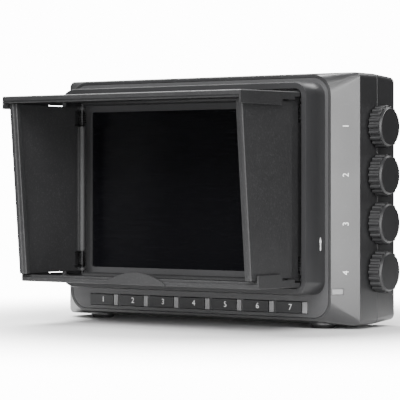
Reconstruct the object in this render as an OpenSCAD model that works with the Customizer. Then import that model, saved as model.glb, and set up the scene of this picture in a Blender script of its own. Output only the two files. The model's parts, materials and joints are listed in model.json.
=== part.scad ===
// Camera field monitor with a four-leaf folding sun hood. Millimetres.
// X to the right (knob side), Y from the front to the back, Z up.
// The origin is the mouth of the tripod thread in the underside.

/* [Body] */
// Width that each side chamfer adds to the panel
chamfer_w = 7.8; // [7:0.1:9]
// Height of the body above the panel
body_rise = 1.05; // [0.9:0.05:1.6]
// Depth from the panel face to the back
body_d = 37.4; // [36:0.2:44]
// Depth of the chamfer round the front
chamfer_d = 9; // [8:0.5:11]
// Depth of the seam between the two shells
seam_d = 22.6; // [22:0.2:24]
// Wall of both shells
wall = 2; // [1.6:0.1:2.2]
// Radius of the body's long edges
body_r = 2.4; // [2:0.1:4]
// Distance from the panel face to the tripod thread
tripod_set = 15.6; // [15:0.1:16]
// Draw-in of the rear cover at its back edge
rear_taper = 0.8; // [0.4:0.1:1.5]

/* [Front panel] */
// Width of the panel beside the display opening
panel_side = 10.7; // [10.6:0.1:12]
// Height of the panel above the display opening
panel_top = 12.65; // [12.5:0.05:14]
// Height of the panel below the display opening
panel_low = 18.65; // [18.6:0.05:20]
// Radius of the panel's corners
panel_r = 8.2; // [6:0.2:10]
// Height of the panel's lower edge above the underside
panel_z = 1.85; // [1.6:0.05:2]
// Thickness of the panel
panel_t = 2.4; // [2.2:0.1:2.8]
// Width of the rim round the panel
rim_w = 1; // [0.8:0.1:1.2]
// Clearance between the panel and its rim
panel_gap = 0.2; // [0.15:0.05:0.3]

/* [Display] */
// Width of the display opening
view_w = 107.6; // [106:0.2:130]
// Height of the display opening
view_h = 65.2; // [64:0.2:80]
// Margin of the window behind the opening
window_lap = 2; // [1.5:0.1:2.5]
// Thickness of the window
window_t = 1.2; // [1:0.1:1.4]
// Width of the display module beside the opening
lcd_side = 6.2; // [4:0.1:6.3]
// Height of the display module above and below the opening
lcd_margin = 5.3; // [3:0.1:5.4]
// Thickness of the display module
lcd_t = 3.2; // [2.8:0.1:4]

/* [Keys] */
// Number of keys
key_count = 7; // [7:1:7]
// Distance from key to key
key_pitch = 15.5; // [15:0.1:15.8]
// Width of a key with its light strip
key_w = 14.4; // [13:0.1:14.6]
// Height of a key
key_h = 4.4; // [4:0.1:4.8]
// Height of the keys' middle above the underside
key_z = 6.9; // [6.8:0.1:7]
// Width of the light strip at the key's right end
strip_w = 2.1; // [1.8:0.1:2.4]
// Clearance round each key
key_gap = 0.25; // [0.2:0.05:0.3]
// Travel of a key
key_travel = 0.5; // [0.3:0.1:0.6]
// Height that a key stands out of the panel
key_proud = 0.7; // [0.6:0.1:0.9]

/* [Knobs] */
// Number of knobs
knob_count = 4; // [4:1:4]
// Distance from knob to knob
knob_pitch = 19.1; // [18.4:0.1:19.4]
// Distance of the knobs' middle below the body's middle
knob_drop = 0.2; // [0:0.1:1]
// Distance of the knob axes from the panel face
knob_set = 22.6; // [22:0.2:24]
// Outer radius of the ribs
knob_r = 8.5; // [8:0.1:8.8]
// Radius of the flat cap
cap_r = 7.1; // [6.6:0.1:7.4]
// Number of ribs
knob_ribs = 20; // [14:1:24]
// Length of the knob
knob_len = 5.4; // [5:0.1:6.5]
// Gap between the knob and the body
knob_gap = 0.7; // [0.7:0.1:1]
// Radius of the knob shaft
shaft_r = 3; // [2.5:0.1:3.2]
// Running clearance round the shaft
shaft_gap = 0.06; // [0.04:0.01:0.1]

/* [Sun hood] */
// Width from the display opening to the hood frame's outer edge
frame_side = 8; // [7.6:0.1:8.4]
// Amount that the frame's front draws in
frame_lean = 1.6; // [1:0.1:1.8]
// Depth of the hood frame
frame_d = 11.5; // [11:0.1:12]
// Height from the frame's lower edge to the display opening
frame_foot = 8.45; // [8.2:0.05:8.7]
// Height from the display opening to the frame's upper edge
frame_head = 9.75; // [9.5:0.05:10]
// Thickness of the frame's side walls at their base
frame_wall = 3.7; // [3.5:0.1:3.9]
// Thickness of the frame's top and bottom walls
mouth_wall = 2.8; // [2.6:0.1:3]
// Upward travel that frees the hood
hood_lift = 2.2; // [1.5:0.1:2.4]
// Thickness of a leaf
leaf_t = 1.8; // [1.5:0.1:2]
// Radius of the hinge knuckles
knuckle_r = 1.6; // [1.5:0.05:1.7]
// Radius of the hinge pins
pin_r = 0.75; // [0.6:0.05:0.8]
// Running clearance round the hinge pins
pin_gap = 0.06; // [0.03:0.01:0.1]
// Distance of the top and bottom pins from the panel face
pin_set = 9.5; // [9.3:0.1:9.6]
// Distance of the side pins from the panel face
side_pin_set = 5.6; // [5.4:0.1:5.8]
// Side gap between the top and bottom leaves and the frame
leaf_gap = 0.4; // [0.3:0.05:0.5]
// Reach of the top leaf from the panel face
top_reach = 53; // [50:0.5:56]
// Reach of the bottom leaf from the panel face
bottom_reach = 40.9; // [40:0.1:44]
// Gap between the top leaf and the frame
top_gap = 1.4; // [1.2:0.05:1.6]
// Gap between the bottom leaf and the frame
bottom_gap = 0.65; // [0.6:0.05:0.8]
// Depth of the lip along a leaf's front edge
lip_h = 2.8; // [2.5:0.1:2.9]
// Depth of the side flanges near the front
flange_h = 5.4; // [5:0.1:5.8]
// Depth of the side flanges near the hinge
flange_low = 3.2; // [3:0.1:3.6]
// Thickness of the side flanges
flange_t = 0.9; // [0.7:0.05:0.95]
// Half width of the thumb tab
tab_half = 10.5; // [8:0.5:13]
// Height of the thumb tab above the lip
tab_rise = 2.2; // [1.5:0.1:3]
// Gap between a side leaf and the frame
side_clear = 1.7; // [1.6:0.05:1.9]
// Thickness of a side leaf
side_t = 2; // [1.7:0.1:2.2]
// Thickness of the strip along a side leaf's free edge
side_edge_t = 3.4; // [3:0.1:3.8]
// Reach of a side leaf at its top from the panel face
side_reach_top = 50.4; // [48:0.2:50.6]
// Reach of a side leaf at its bottom from the panel face
side_reach_low = 44; // [42:0.2:46]
// Gap above and below a side leaf
side_gap = 0.4; // [0.3:0.05:0.5]

/* [Springs] */
// Wire thickness of the leaf springs
spring_wire = 0.5; // [0.4:0.05:0.5]
// Turns of each leaf spring
spring_turns = 5.5; // [3.5:1:5.5]
// Rise of the spring for each turn
spring_pitch = 1; // [0.95:0.05:1.1]
// Mean radius of the spring
spring_r = 1.5; // [1.4:0.05:1.6]
// Reach of the spring's legs
spring_leg = 5; // [4:0.5:6]

/* [Feet and fixings] */
// Radius of a rubber foot
foot_r = 5; // [4:0.5:6]
// Height of a rubber foot
foot_h = 1.5; // [1.2:0.1:2]
// Distance of the feet from the sides
foot_in = 17.3; // [12:0.1:22]
// Distance of the front feet from the panel face
foot_front = 10; // [9:0.5:11]
// Distance of the rear feet from the panel face
foot_rear = 30; // [29:0.5:31]
// Wall radius of the tripod thread
tripod_r = 2.55; // [2.5:0.05:2.6]
// Outer radius of the tripod insert
insert_r = 4.4; // [4:0.1:4.8]
// Length of the tripod thread
tripod_len = 9; // [7:0.5:10]
// Radius of a case screw
screw_r = 1.25; // [1:0.05:1.5]
// Radius of a case screw's head
screw_head_r = 2.5; // [2.3:0.1:2.8]
// Distance of the case screws from the sides
screw_in = 7.5; // [7.4:0.1:8]

/* [Back] */
// Width of the battery plate
plate_w = 41; // [38:0.5:44]
// Height of the battery plate
plate_h = 70; // [64:1:72]
// Depth of the battery plate's recess
plate_d = 5; // [4.5:0.1:5.5]
// Travel of the battery latch
latch_travel = 3; // [2:0.5:4]

/* [Hidden] */
$fn = 48;

eps = 0.01;
fit_gap = 0.15;
loose_gap = 0.3;
charcoal = [0.17, 0.17, 0.18];
dark_plastic = [0.12, 0.12, 0.13];
board_green = [0.08, 0.3, 0.16];
steel = [0.75, 0.75, 0.78];
gold = [0.85, 0.68, 0.3];

panel_w = view_w + 2 * panel_side;
panel_h = view_h + panel_top + panel_low;
body_w = panel_w + 2 * chamfer_w;
body_h = panel_z + panel_h + body_rise;
body_half = body_w / 2;
panel_mid_z = panel_z + panel_h / 2;
body_mid_z = body_h / 2;
view_z = panel_z + panel_low + view_h / 2;
lcd_w = view_w + 2 * lcd_side;
lcd_h = view_h + 2 * lcd_margin;
frame_half = view_w / 2 + frame_side;
frame_low = view_z - view_h / 2 - frame_foot;
frame_high = view_z + view_h / 2 + frame_head;
mouth_half = frame_half - frame_wall;
mouth_low = frame_low + mouth_wall;
mouth_high = frame_high - mouth_wall;
mouth_mid = (mouth_low + mouth_high) / 2;
leaf_half = mouth_half - leaf_gap;
top_z = mouth_high - top_gap;
bottom_z = mouth_low + bottom_gap;
side_half = mouth_half - side_clear;
foot_x = body_half - foot_in;
ledge_t = 1;
ledge_w = 1.5;
panel_back = panel_t + fit_gap;
plate_front = body_d - plate_d;

key_cap_w = key_w - strip_w;
key_flange_t = 1;
key_flange_lap = 0.6;
key_flange_foot = 0.15;
key_stem_r = 1.2;
key_back = panel_t + 0.1 + key_flange_t;
key_board_y = 7.4;
board_t = 1.6;
board_post_r = 1.4;
board_post_z = key_z + key_h / 2 + key_flange_lap + 2.1;

lcd_y = panel_t + loose_gap;
bracket_y = lcd_y + lcd_t + fit_gap;
bracket_t = 0.8;
main_board_y = bracket_y + bracket_t + 5.5;
main_board_w = lcd_w + 2;
main_board_h = lcd_h + 0.2;
board_post_dz = main_board_h / 2 - 6;
bracket_window = [70, 40];

knob_push = 0.5;
knob_start = body_half + knob_gap;
control_len = 7;
control_x = 58.7;
control_size = 13;
bushing_r = shaft_r + shaft_gap + 1.1;
chamber_r = 4.7;
chamber_x = control_x + 0.6;
chamber_len = control_len - 1.4;
plunger_x = chamber_x + knob_push + 0.3;
plunger_t = 1.2;
collar_x = plunger_x + plunger_t + 0.1;
collar_t = 1.2;
shaft_end = knob_start + knob_len - 1.2;
wall_hole_r = bushing_r + 0.25;

side_pin_x = side_half - 2.2;
top_pin_z = top_z - knuckle_r;
bottom_pin_z = bottom_z + knuckle_r;
side_low_z = bottom_z + 2 * knuckle_r + side_gap;
side_high_z = top_z - 2 * knuckle_r - side_gap;
knuckle_end = 50;
side_root = 15.2;
hook_z = [view_z - 22, view_z + 22];
hook_w = 1.2;
hook_h = 5;
hook_toe = 1.2;
hook_x = frame_half - 0.8;

spring_space = spring_turns * spring_pitch + 2 * spring_wire + 0.6;
tail_h = 1.2;
upper_spring_z = side_high_z - tail_h - spring_space / 2;
lower_spring_z = side_low_z + tail_h + spring_space / 2;

function knob_z(i) = body_mid_z - knob_drop + ((knob_count + 1) / 2 - i) * knob_pitch;
function key_x(i) = (i - (key_count + 1) / 2) * key_pitch;

// Places what is drawn from the panel's face back to the origin's plane
module place() {
    translate([0, -tripod_set, 0]) children();
}

// A plate with rounded corners, standing upright, from y to y + t
module plate(w, h, r, y, t, z) {
    translate([0, y + t, z]) rotate([90, 0, 0]) linear_extrude(t) rounded(w, h, r);
}

module rounded(w, h, r) {
    square([w - 2 * r, h], center = true);
    square([w, h - 2 * r], center = true);
    for (x = [-1, 1], y = [-1, 1])
        translate([x * (w / 2 - r), y * (h / 2 - r)]) circle(r);
}

module box(x0, x1, y0, y1, z0, z1) {
    translate([x0, y0, z0]) cube([x1 - x0, y1 - y0, z1 - z0]);
}

module rod_x(r, x0, x1, y, z) {
    translate([x0, y, z]) rotate([0, 90, 0]) cylinder(r = r, h = x1 - x0);
}

module rod_y(r, x, y0, y1, z) {
    translate([x, y1, z]) rotate([90, 0, 0]) cylinder(r = r, h = y1 - y0);
}

module rod_z(r, x, y, z0, z1) {
    translate([x, y, z0]) cylinder(r = r, h = z1 - z0);
}

module mirrored() {
    children();
    mirror([1, 0, 0]) children();
}

module knob_row() {
    for (i = [1 : knob_count]) translate([0, knob_set, knob_z(i)]) children();
}

// Outer form of the front shell: the chamfers, then the straight sides
module front_form(shrink) {
    inner_y = shrink > 0 ? panel_back + ledge_t : 0;
    lead = shrink > 0 ? rim_w + ledge_w : 0;
    hull() {
        plate(panel_w - 2 * lead, panel_h - 2 * lead, panel_r - lead, inner_y - (shrink > 0 ? eps : 0),
            0.02, panel_mid_z, $fn = 40);
        plate(body_w - 2 * shrink, body_h - 2 * shrink, max(0.6, body_r - shrink / 2),
            chamfer_d + shrink / 2, 0.02, body_mid_z, $fn = 40);
    }
    plate(body_w - 2 * shrink, body_h - 2 * shrink, max(0.6, body_r - shrink / 2),
        chamfer_d + shrink / 2, seam_d - chamfer_d - shrink / 2 + (shrink > 0 ? 1 : 0), body_mid_z, $fn = 40);
}

module knob_wall_holes() {
    knob_row() rod_x(wall_hole_r, body_half - wall - 1, body_half + 1, 0, 0);
}

screw_x = body_half - screw_in;
screw_zs = [screw_in, body_h - screw_in];

module screw_places() {
    for (x = [-screw_x, screw_x], z = screw_zs) translate([x, 0, z]) children();
}

module tripod_boss() {
    rod_z(insert_r + 1.2, 0, tripod_set, wall - 0.5, tripod_len + 1.5);
}

hdmi_z = body_mid_z + 20.3;
video_z = body_mid_z + 2.3;
headphone_z = body_mid_z - 11.7;
power_z = body_mid_z - 26.7;
socket_y = main_board_y + board_t + 4.2;
hdmi_w = 14;
hdmi_h = 4.6;
jack_r = 1.8;
power_r = 2.8;
socket_body = 12;
socket_lap = 0.5;

module socket_holes() {
    hdmi_r = 0.4;
    translate([-body_half - 1, socket_y, hdmi_z]) rotate([0, 90, 0])
        linear_extrude(wall + 2) rounded(hdmi_w + 1.8, hdmi_h + 1.8, hdmi_r);
    for (z = [video_z, headphone_z])
        rod_x(3.3, -body_half - 1, -body_half + wall + 1, socket_y, z);
    rod_x(4.3, -body_half - 1, -body_half + wall + 1, socket_y, power_z);
}

module front_housing() color(charcoal) place() {
    difference() {
        union() {
            front_form(0);
            for (x = [-foot_x, foot_x]) rod_z(foot_r + 0.3, x, foot_front, 0, wall);
        }
        front_form(wall);
        plate(panel_w - 2 * rim_w, panel_h - 2 * rim_w, panel_r - rim_w, -1, panel_back + 1, panel_mid_z);
        plate(panel_w - 2 * (rim_w + ledge_w), panel_h - 2 * (rim_w + ledge_w),
            panel_r - rim_w - ledge_w, 0, panel_back + ledge_t + 0.5, panel_mid_z);
        knob_wall_holes();
        socket_holes();
        rod_z(insert_r, 0, tripod_set, -1, wall + 1);
        light_hole();
        for (x = [-foot_x, foot_x]) rod_z(1.5, x, foot_front, -1, wall + 1);
    }
    difference() {
        tripod_boss();
        rod_z(insert_r, 0, tripod_set, -1, tripod_len + 2);
    }
    difference() {
        union() {
            screw_places() rod_y(2.6, 0, chamfer_d + 4, seam_d - 0.2, 0);
            screw_places_webs();
        }
        screw_places() rod_y(screw_r, 0, chamfer_d + 6, seam_d + 1, 0);
    }
}

module screw_places_webs() {
    for (x = [-1, 1]) {
        box(min(x * screw_x, x * (body_half - 0.5)), max(x * screw_x, x * (body_half - 0.5)),
            chamfer_d + 4, seam_d - 0.2, screw_in - 0.8, screw_in + 0.8);
        box(min(x * screw_x, x * (body_half - 0.5)), max(x * screw_x, x * (body_half - 0.5)),
            chamfer_d + 4, seam_d - 0.2, body_h - screw_in - 0.8, body_h - screw_in + 0.8);
    }
}

light_z = 13.45;
light_h = 2.1;
light_len = 4.4;
light_y = 2.05;
light_deep = 1.7;
light_x = panel_w / 2 + (body_half - panel_w / 2) * light_y / chamfer_d;

module light_hole() {
    translate([light_x, light_y, light_z]) rotate([0, 0, -atan2(body_half - panel_w / 2, chamfer_d)])
        rotate([0, 90, 0]) translate([0, 0, -2.3]) linear_extrude(5)
        square([light_h + 2 * fit_gap, light_len + 2 * fit_gap], center = true);
}

module power_light_pipe() color("white") place() {
    translate([light_x, light_y, light_z]) rotate([0, 0, -atan2(body_half - panel_w / 2, chamfer_d)])
        rotate([0, 90, 0]) translate([0, 0, -light_deep]) linear_extrude(light_deep + 0.1)
        square([light_h, light_len], center = true);
}

module rear_form(shrink) {
    y0 = shrink > 0 ? seam_d - 1 : seam_d;
    hull() {
        plate(body_w - 2 * shrink, body_h - 2 * shrink, max(0.6, body_r - shrink / 2), y0, 0.02,
            body_mid_z, $fn = 40);
        plate(body_w - 2 * shrink - 2 * rear_taper, body_h - 2 * shrink - 2 * rear_taper,
            max(0.6, body_r - shrink / 2), body_d - (shrink > 0 ? shrink : 0.02), 0.02,
            body_mid_z, $fn = 40);
    }
}

module rear_cover() color(charcoal) place() {
    difference() {
        union() {
            difference() {
                rear_form(0);
                rear_form(wall);
            }
            plate(plate_w + 2 * wall, plate_h + 2 * wall, 2, plate_front - wall, plate_d + wall - 0.5,
                body_mid_z);
            screw_places() rod_y(4, 0, seam_d + 0.1, body_d - 1, 0);
        }
        knob_wall_holes();
        socket_holes();
        plate(plate_w, plate_h, 1.5, plate_front, plate_d + 1, body_mid_z);
        for (x = [-6, 0, 6]) rod_y(1.2, x, plate_front - wall - 1, plate_front + 1, body_mid_z + 20);
        screw_places() rod_y(screw_r + 0.2, 0, seam_d - 1, body_d + 1, 0);
        screw_places() rod_y(screw_head_r + 0.2, 0, body_d - 3.4, body_d + 1, 0);
        for (x = [-foot_x, foot_x]) rod_z(1.5, x, foot_rear, -1, wall + 2);
        for (i = [-3 : 3]) box(speaker_x - 6, speaker_x + 6, body_d - 3, body_d + 1,
            speaker_z + i * 2.4 - 0.5, speaker_z + i * 2.4 + 0.5);
        for (i = [-5 : 5]) box(vent_x - 8, vent_x + 8, body_d - 3, body_d + 1,
            body_mid_z + i * 4 - 0.8, body_mid_z + i * 4 + 0.8);
    }
}

vent_x = body_half - 26.3;
speaker_x = -vent_x;
speaker_r = 9;
speaker_z = body_mid_z - 19.7;

module display_opening(y0, y1) {
    plate(view_w, view_h, 0.6, y0, y1 - y0, view_z);
}

module front_panel() color(dark_plastic) place() {
    w = panel_w - 2 * (rim_w + panel_gap);
    h = panel_h - 2 * (rim_w + panel_gap);
    difference() {
        union() {
            plate(w, h, panel_r - rim_w - panel_gap, 0, panel_t, panel_mid_z);
            for (i = [2, 4, 6]) rod_y(board_post_r, key_x(i) - key_pitch / 2, panel_t - 0.5,
                key_board_y - 0.05, board_post_z);
        }
        display_opening(-1, panel_t + 1);
        plate(view_w + 2 * (window_lap + fit_gap), view_h + 2 * (window_lap + fit_gap), 1,
            panel_t - window_t - 0.1, window_t + 1, view_z);
        for (i = [1 : key_count]) box(key_x(i) - key_w / 2 - key_gap, key_x(i) + key_w / 2 + key_gap,
            -1, panel_t + 1, key_z - key_h / 2 - key_gap, key_z + key_h / 2 + key_gap);
        for (s = [-1, 1], z = hook_z) hook_slot(s, z);
    }
}

// Slot with a wide upper end, so the hood lifts up and comes off
module hook_slot(s, z) {
    slack = 0.2;
    x = s * hook_x;
    box(x - hook_w / 2 - slack, x + hook_w / 2 + slack, -1, panel_t + 1,
        z - hook_h / 2 - slack, z + hook_h / 2 + hood_lift + slack);
}

module display_window() color([0.1, 0.1, 0.12]) place() {
    plate(view_w + 2 * window_lap, view_h + 2 * window_lap, 0.9, panel_t - window_t, window_t, view_z);
}

module lcd_panel() color([0.02, 0.02, 0.03]) place() {
    plate(lcd_w, lcd_h, 0.5, lcd_y, lcd_t, view_z);
}

bracket_lug_x = lcd_w / 2 - 16;

module lcd_bracket() color(steel) place() {
    difference() {
        plate(lcd_w - 1, lcd_h - 1, 1.5, bracket_y, bracket_t, view_z);
        plate(bracket_window[0], bracket_window[1], 3, bracket_y - 1, bracket_t + 2, view_z);
    }
    for (x = [-1, 1], z = [-1, 1])
        rod_y(2.2, x * bracket_lug_x, bracket_y + bracket_t - 0.2, main_board_y - 0.05, view_z + z * board_post_dz);
}

// A chip or connector on the back of the main board
module board_part(x, z, w, h, t) {
    box(x - w / 2, x + w / 2, main_board_y + board_t - 0.1, main_board_y + board_t + t,
        view_z + z - h / 2, view_z + z + h / 2);
}

module main_board() color(board_green) place() {
    difference() {
        union() {
            plate(main_board_w, main_board_h, 1, main_board_y, board_t, view_z);
            board_part(0, 0, 28, 28, 1.6);
            board_part(34, 14, 16, 12, 1.4);
            board_part(34, -23, 20, 14, 3.4);
            for (x = [-34, -26]) rod_y(3, x, main_board_y + board_t - 0.1, main_board_y + board_t + 7,
                view_z - board_post_dz + 6);
        }
        for (x = [-1, 1], z = [-1, 1])
            rod_y(1.1, x * bracket_lug_x, main_board_y - 1, main_board_y + board_t + 1, view_z + z * board_post_dz);
    }
}

module key_board() color(board_green) place() {
    reach = (key_count - 1) / 2 * key_pitch + key_w / 2 + 1;
    box(-reach, reach, key_board_y, key_board_y + board_t, key_z - 3.4, board_post_z + 1.6);
    for (i = [1 : key_count]) {
        x = key_x(i) - strip_w / 2;
        box(x - 3, x + 3, key_board_y - 1.6, key_board_y + 0.1, key_z - 1.75, key_z + 1.75);
        rod_y(key_stem_r, x, key_board_y - 2, key_board_y, key_z);
    }
}

module knob_board() color(board_green) place() {
    low = knob_z(knob_count) - 8;
    high = knob_z(1) + 8;
    box(control_x - 0.05 - board_t, control_x - 0.05, main_board_y + board_t + 0.05,
        knob_set + 7.5, low, high);
}

module knob_controls() color([0.3, 0.3, 0.33]) place() {
    knob_row() difference() {
        union() {
            box(control_x, control_x + control_len, -control_size / 2, control_size / 2,
                -control_size / 2, control_size / 2);
            rod_x(bushing_r, control_x + control_len - 0.5, body_half + 0.1, 0, 0);
        }
        rod_x(chamber_r, chamber_x, chamber_x + chamber_len, 0, 0);
        rod_x(shaft_r + shaft_gap, chamber_x + 1, body_half + 1, 0, 0);
    }
}

module push_plunger(i) color(steel) place() {
    translate([0, knob_set, knob_z(i)])
        rod_x(chamber_r - 0.3, plunger_x, plunger_x + plunger_t, 0, 0);
}

module knob_shaft(i) color(steel) place() {
    translate([0, knob_set, knob_z(i)]) {
        rod_x(chamber_r - 0.3, collar_x, collar_x + collar_t, 0, 0);
        difference() {
            rod_x(shaft_r, collar_x, shaft_end, 0, 0);
            box(knob_start + 0.5, shaft_end + 1, shaft_r - 1, shaft_r + 1, -4, 4);
        }
    }
}

module knob(i) color(dark_plastic) place() {
    rib_r = PI * knob_r / knob_ribs * 0.62;
    skirt_r = knob_r - rib_r * 0.8;
    translate([knob_start, knob_set, knob_z(i)]) rotate([0, 90, 0]) difference() {
        union() {
            linear_extrude(knob_len - 0.9) {
                circle(skirt_r);
                for (a = [0 : knob_ribs - 1]) rotate(a * 360 / knob_ribs)
                    translate([knob_r - rib_r, 0]) circle(rib_r, $fn = 16);
            }
            cylinder(r = cap_r, h = knob_len);
            translate([0, 0, knob_len - 0.95]) cylinder(r1 = skirt_r, r2 = cap_r - 0.15, h = 0.75);
        }
        translate([0, 0, -1]) difference() {
            cylinder(r = shaft_r + 0.02, h = knob_len - 1.2 + 1.1);
            translate([-4, shaft_r - 0.98, 1.5]) cube([8, 3, knob_len]);
        }
        translate([0, 0, -1]) difference() {
            cylinder(r = skirt_r - 1.4, h = 2.6);
            cylinder(r = shaft_r + 1.4, h = 3);
        }
    }
}

module key(i) color(charcoal) place() {
    x0 = key_x(i) - key_w / 2;
    x1 = x0 + key_cap_w - key_gap;
    box(x0, x1, -key_proud, key_back - 0.5, key_z - key_h / 2, key_z + key_h / 2);
    box(x0 - 0.3, x1 - 0.1, panel_t + 0.1, key_back, key_z - key_h / 2 - key_flange_foot,
        key_z + key_h / 2 + key_flange_lap);
    rod_y(key_stem_r, key_x(i) - strip_w / 2, key_back - 0.5, key_board_y - 2.05 - key_travel, key_z);
}

module key_light_pipes() color([0.6, 0.6, 0.6]) place() {
    for (i = [1 : key_count]) {
        x1 = key_x(i) + key_w / 2;
        box(x1 - strip_w + 0.1, x1, -key_proud + 0.1, key_board_y - 0.05,
            key_z - key_h / 2, key_z + key_h / 2);
    }
}

module hood_frame() color(dark_plastic) place() {
    mid = (frame_low + frame_high) / 2;
    h = frame_high - frame_low;
    difference() {
        union() {
            hull() {
                plate(2 * frame_half, h, 5.6, -0.6, 0.5, mid, $fn = 40);
                plate(2 * frame_half - 0.2 * frame_lean, h - 0.1, 5.6, -frame_d * 0.45, 0.02, mid, $fn = 40);
                plate(2 * (frame_half - 0.4 * frame_lean), h - 0.3, 5.6, -frame_d * 0.8, 0.02, mid, $fn = 40);
                plate(2 * (frame_half - frame_lean), h - 1.2, 5.4, -frame_d, 0.02, mid, $fn = 40);
            }
            for (s = [-1, 1], z = hook_z) {
                x = s * hook_x;
                box(x - hook_w / 2, x + hook_w / 2, -0.7, panel_t + 1.3, z - hook_h / 2, z + hook_h / 2);
                box(x - hook_w / 2, x + hook_w / 2, panel_t + fit_gap, panel_t + 1.3,
                    z - hook_h / 2 - hook_toe, z - hook_h / 2 + 0.1);
            }
        }
        plate(2 * mouth_half, mouth_high - mouth_low, 3, -frame_d - 1, frame_d + 2, mouth_mid);
        for (z = [top_pin_z, bottom_pin_z])
            rod_x(pin_r + 0.01, -mouth_half - 1.2, mouth_half + 1.2, -pin_set, z);
        for (s = [-1, 1])
            rod_z(pin_r + 0.01, s * side_pin_x, -side_pin_set, mouth_low - 1.5, mouth_high + 1.5);
    }
}

module leaf_pin_x(z) {
    rod_x(pin_r, -mouth_half - 1.1, mouth_half + 1.1, -pin_set, z);
}

module leaf_pin_z(s) {
    rod_z(pin_r, s * side_pin_x, -side_pin_set, mouth_low - 1.4, mouth_high + 1.4);
}

// A leaf seen from the side: plate, grooved lip and flanges, drawn as the top one
module wide_leaf(reach, tip_drop, flange_break) {
    root = pin_set;
    difference() {
        union() {
            translate([-leaf_half, 0, 0]) rotate([90, 0, 90]) linear_extrude(2 * leaf_half)
                polygon([[-root, 0], [-reach, -tip_drop], [-reach, -tip_drop - leaf_t], [-root, -leaf_t]]);
            box(-leaf_half, leaf_half, -reach, -reach + 1.1, -tip_drop - 1.6, -tip_drop);
            box(-leaf_half, leaf_half, -reach + 0.5, -reach + 2.1, -tip_drop - lip_h, -tip_drop - 0.4);
            for (s = [-1, 1]) {
                x0 = s > 0 ? leaf_half - flange_t : -leaf_half;
                box(x0, x0 + flange_t, -reach, -flange_break, -flange_h - tip_drop * 0.5, -0.5);
                box(x0, x0 + flange_t, -flange_break - 1, -side_root - 0.4, -flange_low, -0.5);
                rod_x(0.9, s > 0 ? leaf_half - 0.3 : -leaf_half, s > 0 ? leaf_half : -leaf_half + 0.3,
                    -flange_break + 4, -flange_low + 0.9);
            }
            rod_x(knuckle_r, -knuckle_end, knuckle_end, -root, -knuckle_r);
            box(-knuckle_end, knuckle_end, -root - 2.5, -root, -knuckle_r, 0);
        }
        for (s = [-1, 1]) {
            x0 = s > 0 ? knuckle_end : -leaf_half - 1;
            box(x0, x0 + leaf_half + 1 - knuckle_end, -root - 2.4, -root + 3, -4, 1);
        }
        rod_x(pin_r + pin_gap, -knuckle_end - 1, knuckle_end + 1, -root, -knuckle_r);
        rod_z(0.8, 0, -root - 3.4, -0.9, 1);
        translate([0, 0, -leaf_t - 2]) rod_z(0.8, 0, -root - 6, 0, 2.6);
    }
}

module top_leaf() color(charcoal) place() {
    translate([0, 0, top_z]) wide_leaf(top_reach, 0.5, 24.6);
}

// The bottom leaf is the same form turned over, with a thumb tab on its lip
module bottom_leaf() color(charcoal) place() {
    tab_r = (tab_half * tab_half + tab_rise * tab_rise) / (2 * tab_rise);
    translate([0, 0, bottom_z]) {
        mirror([0, 0, 1]) wide_leaf(bottom_reach, 0.4, 24.4);
        intersection() {
            rod_y(tab_r, 0, -bottom_reach - 0.5, -bottom_reach + 1.1, lip_h + tab_rise + 0.4 - tab_r);
            box(-tab_half - 4, tab_half + 4, -bottom_reach - 1, -bottom_reach + 2, 0.4, lip_h + tab_rise + 1);
        }
    }
}

// The right-hand side leaf, standing open
module side_leaf() {
    low = side_low_z;
    high = side_high_z;
    drop = (side_reach_top - side_reach_low) / (high - low);
    inner = side_half - side_t;
    edge = side_half - side_edge_t;
    difference() {
        union() {
            translate([inner, 0, 0]) rotate([90, 0, 90]) linear_extrude(side_t)
                polygon([[-side_root, low], [-side_reach_low, low], [-side_reach_top, high],
                    [-side_root, high]]);
            translate([edge, 0, 0]) rotate([90, 0, 90]) linear_extrude(side_edge_t - 0.3)
                polygon([[-side_reach_low + 3, low], [-side_reach_low + 0.5, low],
                    [-side_reach_top + 0.5, high], [-side_reach_top + 3, high]]);
            box(inner, side_half - 0.6, -side_root - 1, -side_pin_set, low, high);
            rod_z(knuckle_r, side_pin_x, -side_pin_set, low, high);
            box(side_pin_x, side_pin_x + knuckle_r, -side_pin_set - 2.6, -side_pin_set, low, high);
        }
        rod_z(pin_r + pin_gap, side_pin_x, -side_pin_set, low - 1, high + 1);
        for (z = [upper_spring_z, lower_spring_z])
            box(side_pin_x - 3, side_half + 1, -side_pin_set - 4.4, -side_pin_set + 3,
                z - spring_space / 2, z + spring_space / 2);
    }
}

module right_leaf() color(charcoal) place() side_leaf();
module left_leaf() color(charcoal) place() mirror([1, 0, 0]) side_leaf();

// Torsion spring wound round the side pin, with one leg to the frame and one to the leaf
SIDES = 6;
TURN_RINGS = 8;

coil_h = spring_turns * spring_pitch;
leg_rest = side_pin_x - (side_half - side_t) + spring_wire / 2 + 0.05;

function coil_point(i) = let (a = i * 360 / TURN_RINGS)
    [spring_r * cos(a), spring_r * sin(a), spring_pitch * i / TURN_RINGS];
coil_path = concat(
    [[leg_rest, -spring_leg, 0], [(leg_rest + spring_r) / 2, -spring_leg / 2, 0]],
    [for (i = [0 : spring_turns * TURN_RINGS]) coil_point(i)],
    [[-spring_r - 0.3, -1, coil_h], [side_pin_x - mouth_half + fit_gap, -1.8, coil_h]]
);
function unit(v) = v / norm(v);
function heading(path, i) = unit(path[min(i + 1, len(path) - 1)] - path[max(i - 1, 0)]);
function ring(path, i, r) = let (
        t = heading(path, i),
        side = unit(cross(t, abs(t[2]) > 0.9 ? [1, 0, 0] : [0, 0, 1])),
        up = cross(side, t)
    ) [for (k = [0 : SIDES - 1]) path[i] + r * (cos(k * 360 / SIDES) * side + sin(k * 360 / SIDES) * up)];

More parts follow.
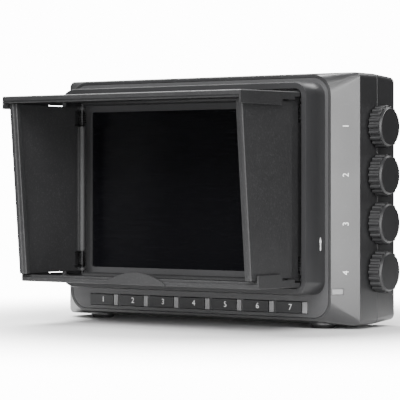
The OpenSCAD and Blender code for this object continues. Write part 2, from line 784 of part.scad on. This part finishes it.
module tube(path, r) {
    n = len(path);
    points = [for (i = [0 : n - 1]) each ring(path, i, r)];
    sides = [for (i = [0 : n - 2], k = [0 : SIDES - 1]) let (a = i * SIDES + k,
        b = i * SIDES + (k + 1) % SIDES) each [[a, b, a + SIDES], [b, b + SIDES, a + SIDES]]];
    start = [for (k = [1 : SIDES - 2]) [0, k + 1, k]];
    last = (n - 1) * SIDES;
    end = [for (k = [1 : SIDES - 2]) [last, last + k, last + k + 1]];
    polyhedron(points, concat(sides, start, end));
}

coil_gap = min([for (i = [2 : len(coil_path) - 1], j = [2 : len(coil_path) - 1])
    if (j - i >= TURN_RINGS - 2) norm(coil_path[i] - coil_path[j])]) - spring_wire;
echo(least_gap_between_spring_turns = coil_gap);

module leaf_spring(z) {
    translate([side_pin_x, -side_pin_set, z - spring_turns * spring_pitch / 2])
        mirror([1, 0, 0]) tube(coil_path, spring_wire / 2);
}

module right_upper_spring() color(steel) place() leaf_spring(upper_spring_z);
module right_lower_spring() color(steel) place() leaf_spring(lower_spring_z);
module left_upper_spring() color(steel) place() mirror([1, 0, 0]) leaf_spring(upper_spring_z);
module left_lower_spring() color(steel) place() mirror([1, 0, 0]) leaf_spring(lower_spring_z);

module top_hinge_pin() color(steel) place() leaf_pin_x(top_pin_z);
module bottom_hinge_pin() color(steel) place() leaf_pin_x(bottom_pin_z);
module left_hinge_pin() color(steel) place() leaf_pin_z(-1);
module right_hinge_pin() color(steel) place() leaf_pin_z(1);

module round_socket(z, r, outer) {
    difference() {
        union() {
            box(-body_half + wall + 0.05, -body_half + socket_body, main_board_y + board_t + 0.05,
                socket_y + outer, z - outer, z + outer);
            rod_x(outer - 0.8, -body_half + 0.2, -body_half + wall + 1, socket_y, z);
        }
        rod_x(r, -body_half - 1, -body_half + socket_body - 1.5, socket_y, z);
    }
}

module video_socket() color([0.2, 0.2, 0.22]) place() round_socket(video_z, jack_r, 3.9);
module headphone_socket() color([0.2, 0.2, 0.22]) place() round_socket(headphone_z, jack_r, 3.9);

module power_socket() color([0.2, 0.2, 0.22]) place() {
    round_socket(power_z, power_r, 4.3);
    rod_x(0.8, -body_half + 1.5, -body_half + socket_body - 1, socket_y, power_z);
}

module hdmi_socket() color(steel) place() {
    x0 = -body_half + 0.3;
    x1 = -body_half + socket_body;
    difference() {
        translate([x0, socket_y, hdmi_z]) rotate([0, 90, 0]) linear_extrude(x1 - x0)
            rounded(hdmi_w + 1.2, hdmi_h + 1.2, 0.3);
        translate([x0 - 1, socket_y, hdmi_z]) rotate([0, 90, 0]) linear_extrude(socket_body - 2)
            rounded(hdmi_w, hdmi_h, 0.3);
    }
    box(x1 - socket_body + 4, x1 - 0.5, socket_y - 0.5, socket_y + 0.5, hdmi_z - 5.5, hdmi_z + 5.5);
    box(x1 - 6, x1, main_board_y + board_t + 0.05, socket_y - hdmi_h / 2, hdmi_z - 6, hdmi_z + 6);
}

module speaker() color([0.15, 0.15, 0.15]) place() {
    y1 = body_d - wall - 0.05;
    rod_y(speaker_r, speaker_x, y1 - 3.2, y1, speaker_z);
    rod_y(speaker_r - 4, speaker_x, y1 - 5, y1 - 3, speaker_z);
}

module battery_plate() color(dark_plastic) place() {
    w = plate_w - 2 * fit_gap;
    h = plate_h - 2 * fit_gap;
    difference() {
        plate(w, h, 1.3, plate_front + 0.05, plate_d - 0.6, body_mid_z);
        for (s = [-1, 1]) {
            box(s * 14 - 2.2, s * 14 + 2.2, plate_front + 2.2, body_d, body_mid_z - 26, body_mid_z + 8);
            box(s * 14 - 3.4, s * 14 + 3.4, plate_front + 2.2, plate_front + 3.6, body_mid_z - 26,
                body_mid_z + 8);
        }
        box(-9.2, 9.2, plate_front - 1, body_d, body_mid_z + 15, body_mid_z + 25);
        box(-5.2, 5.2, plate_front + 1.2, body_d, body_mid_z - 32, body_mid_z - 20);
    }
}

module battery_contacts() color(gold) place() {
    for (x = [-6, 0, 6]) {
        box(x - 1, x + 1, plate_front + 1.1, body_d - 2.2, body_mid_z + 16, body_mid_z + 24);
        rod_y(0.9, x, plate_front - wall - 1.5, plate_front + 0.1, body_mid_z + 20);
    }
    box(-9, 9, plate_front + 0.05, plate_front + 1.2, body_mid_z + 15.2, body_mid_z + 24.8);
}

module battery_latch() color("firebrick") place() {
    low = body_mid_z - 31.8;
    high = body_mid_z - 20.2 - latch_travel;
    box(-5, 5, plate_front + 1.35, plate_front + 3.2, low, high);
    for (i = [0 : 2]) box(-4, 4, plate_front + 3, plate_front + 4, low + 1.2 + i * 2.2, low + 2.2 + i * 2.2);
}

module tripod_insert() color(gold) place() {
    difference() {
        rod_z(insert_r - 0.02, 0, tripod_set, 0, tripod_len + 1);
        rod_z(tripod_r, 0, tripod_set, -1, tripod_len);
    }
}

module case_screws() color(steel) place() {
    screw_places() difference() {
        union() {
            rod_y(screw_r - 0.02, 0, chamfer_d + 8, body_d - 3.5, 0);
            rod_y(screw_head_r, 0, body_d - 3.4 + 0.02, body_d - 3.4 + 1.6, 0);
            rod_y(screw_r - 0.02, 0, body_d - 4, body_d - 3, 0);
        }
        box(-1.6, 1.6, body_d - 2.7, body_d, -0.3, 0.3);
        box(-0.3, 0.3, body_d - 2.7, body_d, -1.6, 1.6);
    }
}

module rubber_feet() color([0.06, 0.06, 0.06]) place() {
    for (x = [-foot_x, foot_x], y = [foot_front, foot_rear]) {
        translate([x, y, -foot_h]) cylinder(r1 = foot_r - 0.9, r2 = foot_r, h = foot_h - 0.02);
        rod_z(1.48, x, y, -0.1, wall - 0.1);
    }
}

module push_plunger_1() push_plunger(1);
module push_plunger_3() push_plunger(3);
module push_plunger_4() push_plunger(4);

front_housing();
rear_cover();
front_panel();
display_window();
lcd_panel();
lcd_bracket();
main_board();
key_board();
knob_board();
knob_controls();
push_plunger_1();
push_plunger_3();
push_plunger_4();
knob_shaft(1);  // knob_shaft_1
knob_shaft(2);  // knob_shaft_2
knob_shaft(3);  // knob_shaft_3
knob_shaft(4);  // knob_shaft_4
knob(1);  // knob_1
knob(2);  // knob_2
knob(3);  // knob_3
knob(4);  // knob_4
key(1);  // key_1
key(2);  // key_2
key(3);  // key_3
key(4);  // key_4
key(5);  // key_5
key(6);  // key_6
key(7);  // key_7
key_light_pipes();
power_light_pipe();
hood_frame();
top_leaf();
bottom_leaf();
left_leaf();
right_leaf();
top_hinge_pin();
bottom_hinge_pin();
left_hinge_pin();
right_hinge_pin();
left_upper_spring();
left_lower_spring();
right_upper_spring();
right_lower_spring();
hdmi_socket();
video_socket();
headphone_socket();
power_socket();
speaker();
battery_plate();
battery_contacts();
battery_latch();
tripod_insert();
case_screws();
rubber_feet();
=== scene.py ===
import json
import math
import bpy
import bmesh
from mathutils import Matrix, Vector


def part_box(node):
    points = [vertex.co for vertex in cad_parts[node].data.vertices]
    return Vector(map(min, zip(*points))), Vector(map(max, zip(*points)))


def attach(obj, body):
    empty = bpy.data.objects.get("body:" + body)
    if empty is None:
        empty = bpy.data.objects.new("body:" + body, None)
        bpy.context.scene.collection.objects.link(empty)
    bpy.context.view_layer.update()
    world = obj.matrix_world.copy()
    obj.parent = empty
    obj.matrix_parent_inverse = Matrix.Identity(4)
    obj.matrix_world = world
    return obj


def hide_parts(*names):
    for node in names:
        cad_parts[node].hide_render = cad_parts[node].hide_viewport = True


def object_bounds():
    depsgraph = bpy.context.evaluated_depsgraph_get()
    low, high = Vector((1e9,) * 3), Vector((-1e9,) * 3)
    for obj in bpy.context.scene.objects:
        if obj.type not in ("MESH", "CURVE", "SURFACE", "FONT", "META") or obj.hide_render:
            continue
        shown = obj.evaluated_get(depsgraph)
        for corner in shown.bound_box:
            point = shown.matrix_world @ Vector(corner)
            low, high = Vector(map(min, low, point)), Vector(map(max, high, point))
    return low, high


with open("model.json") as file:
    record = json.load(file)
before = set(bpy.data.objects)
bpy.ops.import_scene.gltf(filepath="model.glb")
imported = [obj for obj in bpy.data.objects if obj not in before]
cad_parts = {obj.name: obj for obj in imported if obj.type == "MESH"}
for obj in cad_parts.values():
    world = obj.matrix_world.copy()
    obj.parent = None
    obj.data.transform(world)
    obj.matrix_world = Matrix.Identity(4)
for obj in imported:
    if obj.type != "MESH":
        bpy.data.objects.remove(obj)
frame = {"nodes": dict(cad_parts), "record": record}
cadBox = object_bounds()
print("frame loaded:", len(frame["nodes"]), "nodes")

mm = 0.001
quarterTurn = math.radians(90)
groups = frame["record"]["behaviour"]["bodies"]
bodyOf = {node: body for body, nodes in groups.items() for node in nodes}
slotOf = {part["node"]: part["material_slot"] for part in frame["record"]["subparts"]}


def addObject(name, data):
    made = bpy.data.objects.new(name, data)
    bpy.context.collection.objects.link(made)
    return made


# camera

cameraSettings = {
    "place": (0.4721, -0.6895, 0.0567),
    "azimuth": 34.88,
    "lens": 181.6,
    "sensor": 36.0,
    "shiftY": -0.0475,
    "farClip": 20,
}


def addCamera(settings):
    data = bpy.data.cameras.new("photoCamera")
    data.lens = settings["lens"]
    data.sensor_width = settings["sensor"]
    data.shift_y = settings["shiftY"]
    data.clip_end = settings["farClip"]
    camera = addObject("photoCamera", data)
    camera.location = settings["place"]
    camera.rotation_euler = (quarterTurn, 0, math.radians(settings["azimuth"]))
    bpy.context.scene.camera = camera
    print("camera placed")


addCamera(cameraSettings)

# shader maths


class Wire:  # a node socket that takes part in expressions
    def __init__(self, shader, socket):
        self.shader = shader
        self.socket = socket

    def maths(self, operation, first, second):
        return self.shader.node("ShaderNodeMath", {"operation": operation}, {0: first, 1: second})

    def __add__(self, other):
        return self.maths("ADD", self, other)

    def __sub__(self, other):
        return self.maths("SUBTRACT", self, other)

    def __rsub__(self, other):
        return self.maths("SUBTRACT", other, self)

    def __mul__(self, other):
        return self.maths("MULTIPLY", self, other)

    __radd__ = __add__
    __rmul__ = __mul__

    def swing(self, width):  # the noise about its mean
        return (self - 0.5) * width


class Shader:  # one material with its node tree
    def __init__(self, name):
        self.material = bpy.data.materials.new(name)
        self.material.use_nodes = True
        self.tree = self.material.node_tree
        self.surface = self.tree.nodes["Principled BSDF"]

    def plug(self, socket, value):
        if isinstance(value, Wire):
            self.tree.links.new(value.socket, socket)
        elif socket.type == "RGBA":
            socket.default_value = (*value, 1)
        else:
            socket.default_value = value

    def node(self, kind, settings=None, values=None, output=0):
        made = self.tree.nodes.new(kind)
        for key, value in (settings or {}).items():
            if key == "stops":
                ramp = made.color_ramp.elements
                while len(ramp) < len(value):
                    ramp.new(0.5)
                for stop, (place, colour) in zip(ramp, value):
                    stop.position = place
                    stop.color = (*colour, 1)
            else:
                setattr(made, key, value)
        for key, value in (values or {}).items():
            self.plug(made.inputs[key], value)
        return Wire(self, made.outputs[output])

    def set(self, **values):
        for key, value in values.items():
            self.plug(self.surface.inputs[key.replace("_", " ")], value)

    def place(self, stretch=(1, 1, 1)):
        here = self.node("ShaderNodeTexCoord", output="Object")
        return self.node("ShaderNodeMapping", {}, {"Vector": here, "Scale": stretch})

    def noise(self, scale, detail, roughness, stretch=(1, 1, 1)):  # scales are per metre
        return self.node("ShaderNodeTexNoise", {}, {"Vector": self.place(stretch), "Scale": scale,
                                                    "Detail": detail, "Roughness": roughness})

    def mix(self, factor, first, second):  # 6, 7 and 2 are the node's colour sockets
        return self.node("ShaderNodeMix", {"data_type": "RGBA"}, {0: factor, 6: first, 7: second}, 2)

    def bump(self, height, strength, distance):
        values = {"Strength": strength, "Distance": distance * mm, "Height": height}
        self.set(Normal=self.node("ShaderNodeBump", {}, values))


# materials

plasticSettings = {
    "case": {"dark": (0.012, 0.012, 0.0125), "light": (0.024, 0.024, 0.025),
             "rough": 0.33, "shine": 0.8, "grain": 0.4, "fleck": 0.9},
    "panel": {"dark": (0.034, 0.034, 0.035), "light": (0.052, 0.052, 0.054),
              "rough": 0.4, "shine": 0.6, "grain": 0.3, "fleck": 0.5},
    "hood": {"dark": (0.008, 0.008, 0.0085), "light": (0.029, 0.029, 0.030),
             "rough": 0.5, "shine": 0.5, "grain": 0.8, "fleck": 1.2},
    "ring": {"dark": (0.016, 0.016, 0.017), "light": (0.022, 0.022, 0.023),
             "rough": 0.36, "shine": 0.6, "grain": 0.07, "fleck": 0.3},
    "key": {"dark": (0.016, 0.016, 0.017), "light": (0.022, 0.022, 0.023),
            "rough": 0.45, "shine": 0.5, "grain": 0.3, "fleck": 0.3},
    "knob": {"dark": (0.010, 0.010, 0.0105), "light": (0.016, 0.016, 0.017),
             "rough": 0.42, "shine": 0.6, "grain": 0.3, "fleck": 0.5},
    "socket": {"dark": (0.010, 0.010, 0.0105), "light": (0.016, 0.016, 0.017),
               "rough": 0.5, "shine": 0.5, "grain": 0.4, "fleck": 0.3},
    "foot": {"dark": (0.008, 0.008, 0.008), "light": (0.014, 0.014, 0.014),
             "rough": 0.75, "shine": 0.4, "grain": 0.8, "fleck": 0.3},
    "latch": {"dark": (0.24, 0.014, 0.011), "light": (0.31, 0.024, 0.018),
              "rough": 0.45, "shine": 0.5, "grain": 0.4, "fleck": 0.2},
}
mouldSettings = {  # the spark-eroded texture that all the plastics share
    "grain": (2600, 3, 0.6),
    "smudge": (42, 4, 0.55),
    "fleck": (1300, 2, 0.7),
    "pitScale": 1820,
    "fleckFrom": 0.56,
    "fleckTo": 0.74,
    "grainTone": 0.4,
    "smudgeTone": 0.3,
    "grainRough": 0.12,
    "smudgeRough": 0.16,
    "grainDepth": 0.6,
    "pitDepth": 0.4,
    "depth": 0.06,
}


def mouldedPlastic(name, settings, mould):
    shader = Shader(name)
    grain = shader.noise(*mould["grain"])
    pits = shader.node("ShaderNodeTexVoronoi", {}, {"Vector": shader.place(), "Scale": mould["pitScale"]})
    smudge = shader.noise(*mould["smudge"])
    fleck = shader.noise(*mould["fleck"])
    bright = shader.node("ShaderNodeMapRange", {}, {"Value": fleck, "From Min": mould["fleckFrom"],
                                                    "From Max": mould["fleckTo"]})
    tone = grain * mould["grainTone"] + smudge * mould["smudgeTone"] + bright * settings["fleck"]
    shader.set(Base_Color=shader.mix(tone, settings["dark"], settings["light"]))
    shader.set(Roughness=settings["rough"] + smudge.swing(mould["smudgeRough"]) + grain.swing(mould["grainRough"]))
    shader.set(Specular_IOR_Level=settings["shine"])
    shader.bump(grain * mould["grainDepth"] + pits * mould["pitDepth"], settings["grain"], mould["depth"])
    return shader.material


metalSettings = {
    "steel": {"colour": (0.05, 0.05, 0.051), "worn": (0.02, 0.02, 0.0205), "rough": 0.42},
    "contact": {"colour": (0.78, 0.58, 0.26), "worn": (0.62, 0.44, 0.18), "rough": 0.25},
    "insert": {"colour": (0.66, 0.50, 0.24), "worn": (0.48, 0.35, 0.16), "rough": 0.34},
}
turningSettings = {"streak": (900, 3, 0.6, (1, 1, 0.08)), "tarnish": (160, 4, 0.6), "streakRough": 0.25,
                   "bump": (0.2, 0.03)}


def turnedMetal(name, settings, turning):
    shader = Shader(name)
    streak = shader.noise(*turning["streak"])
    tarnish = shader.noise(*turning["tarnish"])
    shader.set(Base_Color=shader.mix(tarnish, settings["colour"], settings["worn"]), Metallic=1.0)
    shader.set(Roughness=settings["rough"] + streak.swing(turning["streakRough"]))
    shader.bump(streak, *turning["bump"])
    return shader.material


boardSettings = {"stops": [(0.42, (0.008, 0.06, 0.03)), (0.5, (0.02, 0.13, 0.06))], "scale": 420, "rough": 0.35,
                 "bump": (0.3, 0.05)}


def circuitBoard(name, settings):
    shader = Shader(name)
    tracks = shader.node("ShaderNodeTexVoronoi", {"distance": "MANHATTAN"},
                         {"Vector": shader.place(), "Scale": settings["scale"]})
    etched = shader.node("ShaderNodeValToRGB", {"stops": settings["stops"]}, {0: tracks})
    shader.set(Base_Color=etched, Roughness=settings["rough"])
    shader.bump(tracks, *settings["bump"])
    return shader.material


windowSettings = {"colour": (0.004, 0.004, 0.005), "alpha": 0.7, "shine": 0.3, "smear": (30, 4, 0.6),
                  "rough": 0.16, "smearRough": 0.08}


def darkWindow(name, settings):
    shader = Shader(name)
    smear = shader.noise(*settings["smear"])
    shader.set(Base_Color=settings["colour"], Alpha=settings["alpha"], Specular_IOR_Level=settings["shine"])
    shader.set(Roughness=settings["rough"] + smear * settings["smearRough"])
    return shader.material


grainySettings = {
    "display": {"grain": (700, 2, 0.5, (0.12, 1, 1)), "dark": (0.005, 0.005, 0.007), "light": (0.010, 0.011, 0.014),
                "rough": 0.22, "grainRough": 0.1, "bump": (0.08, 0.03)},
    "light": {"grain": (1800, 3, 0.6), "dark": (0.17, 0.17, 0.172), "light": (0.24, 0.24, 0.243),
              "rough": 0.38, "grainRough": 0.1, "bump": (0.25, 0.04)},
    "ink": {"grain": (3500, 2, 0.5), "dark": (0.62, 0.62, 0.62), "light": (0.86, 0.86, 0.86),
            "rough": 0.5, "grainRough": 0.1},
}


def grainySurface(name, settings):
    shader = Shader(name)
    grain = shader.noise(*settings["grain"])
    shader.set(Base_Color=shader.mix(grain, settings["dark"], settings["light"]))
    shader.set(Roughness=settings["rough"] + grain * settings["grainRough"])
    if "bump" in settings:
        shader.bump(grain, *settings["bump"])
    return shader.material


finish = {name: mouldedPlastic(name, settings, mouldSettings) for name, settings in plasticSettings.items()}
finish.update({name: turnedMetal(name, settings, turningSettings) for name, settings in metalSettings.items()})
finish.update({name: grainySurface(name, settings) for name, settings in grainySettings.items()})
finish["board"] = circuitBoard("board", boardSettings)
finish["window"] = darkWindow("window", windowSettings)
print("materials made:", len(finish))

# pieces dressed from their CAD shapes

edgeSettings = {  # bevel widths by node or slot
    "front_housing": 0.55, "rear_cover": 0.45, "front_panel": 0.3, "hood_frame": 0.45,
    "top_leaf": 0.4, "bottom_leaf": 0.4, "left_leaf": 0.35, "right_leaf": 0.35,
    "battery_plate": 0.3, "battery_latch": 0.2, "rubber_feet": 0.35,
    "key": 0.22, "knob": 0.22, "light": 0.12, "socket": 0.2, "steel": 0.1, "other": 0.1,
}
softSettings = {"segments": 3, "sharpAngle": 32, "flatWeight": 100, "mergeDistance": 0.03, "flatAngle": 0.6}


def shadeSoftly(piece, width, settings):
    sharpAngle = math.radians(settings["sharpAngle"])
    for face in piece.data.polygons:
        face.use_smooth = True
    piece.data.set_sharp_from_angle(angle=sharpAngle)
    if width > 0:
        bevel = piece.modifiers.new("softEdges", "BEVEL")
        bevel.width = width * mm
        bevel.segments = settings["segments"]
        bevel.limit_method = "ANGLE"
        bevel.angle_limit = sharpAngle
        bevel.use_clamp_overlap = True
        flatten = piece.modifiers.new("flatFaces", "WEIGHTED_NORMAL")
        flatten.weight = settings["flatWeight"]
        flatten.keep_sharp = True


def pieceFromMesh(shape, name, material):
    mesh = bpy.data.meshes.new(name)
    shape.to_mesh(mesh)
    shape.free()
    mesh.materials.append(material)
    return addObject(name, mesh)


def bevelEdges(shape, edges, settings):
    bmesh.ops.bevel(shape, geom=edges, offset=settings["width"] * mm, offset_type="OFFSET", affect="EDGES",
                    segments=settings["segments"], profile=0.5, material=-1, clamp_overlap=False)


housingLow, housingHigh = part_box("front_housing")
seamSettings = {"width": 0.32, "segments": 2, "nearPlane": 0.05, "nearOutline": 1.5}


def breakSeamEdge(shape, settings):  # the fine groove where the two shells meet
    halfX = (housingHigh[0] - housingLow[0]) / 2
    halfZ = (housingHigh[2] - housingLow[2]) / 2
    middleZ = (housingHigh[2] + housingLow[2]) / 2

    def onOutline(vertex):
        inset = max(abs(vertex.co.x) - halfX, abs(vertex.co.z - middleZ) - halfZ)
        away = abs(vertex.co.y - housingHigh[1])
        return away < settings["nearPlane"] * mm and inset > -settings["nearOutline"] * mm

    edges = [edge for edge in shape.edges if all(onOutline(vertex) for vertex in edge.verts)]
    bevelEdges(shape, edges, settings)
    print("seam edges broken:", len(edges))


leafSettings = {"width": 0.42, "segments": 3, "leastLength": 20, "leastAngle": 60}


def roundLongEdges(shape, settings):  # the leaves' moulded rims
    edges = [edge for edge in shape.edges if len(edge.link_faces) == 2
             and edge.calc_length() > settings["leastLength"] * mm
             and edge.calc_face_angle_signed(0) > math.radians(settings["leastAngle"])]
    bevelEdges(shape, edges, settings)


def dressNode(node, material, width, settings):
    source = frame["nodes"][node]
    shape = bmesh.new()
    shape.from_mesh(source.data)
    bmesh.ops.remove_doubles(shape, verts=shape.verts, dist=settings["mergeDistance"] * mm)
    bmesh.ops.dissolve_limit(shape, angle_limit=math.radians(settings["flatAngle"]), verts=shape.verts,
                             edges=shape.edges)
    if node in ("front_housing", "rear_cover"):
        breakSeamEdge(shape, seamSettings)
    if node.endswith("_leaf"):
        roundLongEdges(shape, leafSettings)
    piece = pieceFromMesh(shape, node + "_dressed", material)
    shadeSoftly(piece, width, settings)
    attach(piece, bodyOf[node])
    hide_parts(node)


for node, slot in slotOf.items():
    width = edgeSettings.get(node, edgeSettings.get(slot, edgeSettings["other"]))
    if node.endswith("_spring"):
        width = 0
    dressNode(node, finish[slot], width, softSettings)
print("pieces dressed")

# plain numbers on the keys and beside the knobs, and the arrow on the hood frame

printSettings = {
    "keyHeight": 2.3,
    "keyRight": 1.0,  # from the middle of the key
    "keyDown": 0.2,
    "knobHeight": 2.5,
    "knobOut": 0.52,  # share of the way across the chamfer
    "fontSize": 1.4,  # font size for a figure of height 1
    "thickness": 0.03,
    "lift": 0.01,
}


def numberMesh(text, height, name, settings):
    curve = bpy.data.curves.new(name, "FONT")
    curve.body = text
    curve.size = height * mm * settings["fontSize"]
    curve.align_x = "CENTER"
    curve.align_y = "CENTER"
    curve.extrude = settings["thickness"] * mm / 2
    holder = addObject(name + "Curve", curve)
    bpy.context.view_layer.update()
    mesh = bpy.data.meshes.new_from_object(holder.evaluated_get(bpy.context.evaluated_depsgraph_get()))
    bpy.data.objects.remove(holder)
    mesh.name = name
    mesh.materials.clear()
    mesh.materials.append(finish["ink"])
    return mesh


def printNumber(text, height, name, place, body):
    mesh = numberMesh(text, height, name, printSettings)
    mesh.transform(place)
    piece = addObject(name, mesh)
    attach(piece, body)


upright = Matrix.Rotation(quarterTurn, 4, "X")


def onKey(low, high, settings):
    x = (low[0] + high[0]) / 2 + settings["keyRight"] * mm
    y = low[1] - settings["lift"] * mm
    z = (low[2] + high[2]) / 2 - settings["keyDown"] * mm
    return Matrix.Translation((x, y, z)) @ upright


for index in range(1, 8):
    low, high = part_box(f"key_{index}")
    printNumber(str(index), printSettings["keyHeight"], f"key_number_{index}", onKey(low, high, printSettings),
                f"key_{index}")

chamferSettings = {"rim": 1.2, "depth": 9}
panelLow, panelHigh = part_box("front_panel")
startX, startY = panelHigh[0] + chamferSettings["rim"] * mm, housingLow[1]
acrossX, acrossY = housingHigh[0] - startX, chamferSettings["depth"] * mm
chamferTurn = math.atan2(acrossY, acrossX)


def onChamfer(low, high, settings):
    lift = settings["lift"] * mm
    x = startX + acrossX * settings["knobOut"] + math.sin(chamferTurn) * lift
    y = startY + acrossY * settings["knobOut"] - math.cos(chamferTurn) * lift
    z = (low[2] + high[2]) / 2
    return (Matrix.Translation((x, y, z)) @ Matrix.Rotation(chamferTurn, 4, "Z") @ upright
            @ Matrix.Rotation(quarterTurn, 4, "Z"))


for index in range(1, 5):
    low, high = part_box(f"knob_{index}")
    printNumber(str(index), printSettings["knobHeight"], f"knob_number_{index}", onChamfer(low, high, printSettings),
                "monitor_body")
print("numbers printed")

arrowSettings = {
    "length": 5.2,
    "width": 0.7,
    "headLength": 2,
    "headWidth": 1.7,
    "thickness": 0.14,
    "sunk": 0.2,
    "back": 8.3,  # from the front of the hood frame
    "foot": 29.6,  # height of its foot
}


def addArrow(settings):
    low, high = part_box("hood_frame")
    half = settings["width"] / 2
    wing = settings["headWidth"] / 2
    tip = settings["length"]
    neck = tip - settings["headLength"]
    outline = [(-half, 0), (half, 0), (half, neck), (wing, neck), (0, tip), (-wing, neck), (-half, neck)]
    x = high[0] - settings["sunk"] * mm
    shape = bmesh.new()
    corners = [shape.verts.new((x, low[1] + (settings["back"] + y) * mm, (settings["foot"] + z) * mm))
               for y, z in outline]
    face = shape.faces.new(corners)
    extruded = bmesh.ops.extrude_face_region(shape, geom=[face])["geom"]
    moved = [part for part in extruded if isinstance(part, bmesh.types.BMVert)]
    bmesh.ops.translate(shape, verts=moved, vec=(settings["thickness"] * mm, 0, 0))
    bmesh.ops.recalc_face_normals(shape, faces=shape.faces)
    piece = pieceFromMesh(shape, "lift_arrow", finish["ink"])
    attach(piece, "hood_ring")


addArrow(arrowSettings)
print("arrow printed")

# light and floor

lightSettings = {
    "right": {"place": (1.08, -0.56, 0.13), "size": (0.34, 1.0), "power": 14},
    "front": {"place": (0.32, -0.98, 0.76), "size": (1.0, 0.6), "power": 34},
    "low": {"place": (0.4, -1.15, 0.06), "size": (0.9, 0.2), "power": 8},
    "top": {"place": (-0.4, 0.05, 0.95), "size": (0.9, 0.6), "power": 34},
    "back": {"place": (0.25, 1.0, 1.1), "size": (0.7, 0.6), "power": 8},
}
aimPoint = Vector((0, -0.01, 0.05))


def addLights(settings):
    for name, light in settings.items():
        data = bpy.data.lights.new(name + "Softbox", "AREA")
        data.shape = "RECTANGLE"
        data.size, data.size_y = light["size"]
        data.energy = light["power"]
        lamp = addObject(name + "Softbox", data)
        lamp.location = light["place"]
        aim = aimPoint - Vector(light["place"])
        lamp.rotation_euler = aim.to_track_quat("-Z", "Y").to_euler()


roomSettings = {
    "seen": 14.0,  # strength of the white room for the camera
    "lit": 0.09,  # and for everything else
    "floorHalf": 0.4,
    "solidRadius": 0.08,
    "clearRadius": 0.23,
    "speckle": (60, 3, 0.5),
    "dark": (0.74, 0.74, 0.74),
    "light": (0.8, 0.8, 0.8),
    "rough": 0.6,
}


def paleFloor(name, settings):  # fades out before its edge
    shader = Shader(name)
    reach = shader.node("ShaderNodeVectorMath", {"operation": "LENGTH"}, {0: shader.place()}, "Value")
    fade = shader.node("ShaderNodeMapRange", {"interpolation_type": "SMOOTHSTEP"},
                       {"Value": reach, "From Min": settings["solidRadius"], "From Max": settings["clearRadius"],
                        "To Min": 1.0, "To Max": 0.0})
    speckle = shader.noise(*settings["speckle"])
    shader.set(Base_Color=shader.mix(speckle, settings["dark"], settings["light"]))
    shader.set(Roughness=settings["rough"], Alpha=fade)
    return shader.material


def addRoom(settings):
    world = bpy.data.worlds.new("studio")
    bpy.context.scene.world = world
    world.use_nodes = True
    tree = world.node_tree
    rays = tree.nodes.new("ShaderNodeLightPath")
    level = tree.nodes.new("ShaderNodeMapRange")
    level.inputs["To Min"].default_value = settings["lit"]
    level.inputs["To Max"].default_value = settings["seen"]
    tree.links.new(rays.outputs["Is Camera Ray"], level.inputs["Value"])
    tree.links.new(level.outputs["Result"], tree.nodes["Background"].inputs["Strength"])
    tree.nodes["Background"].inputs["Color"].default_value = (1, 1, 1, 1)
    shape = bmesh.new()
    bmesh.ops.create_grid(shape, x_segments=1, y_segments=1, size=settings["floorHalf"])
    bmesh.ops.translate(shape, verts=shape.verts, vec=(0, 0, cadBox[0][2]))
    floor = pieceFromMesh(shape, "floor", paleFloor("paleFloor", settings))


addLights(lightSettings)
addRoom(roomSettings)
print("stage set")
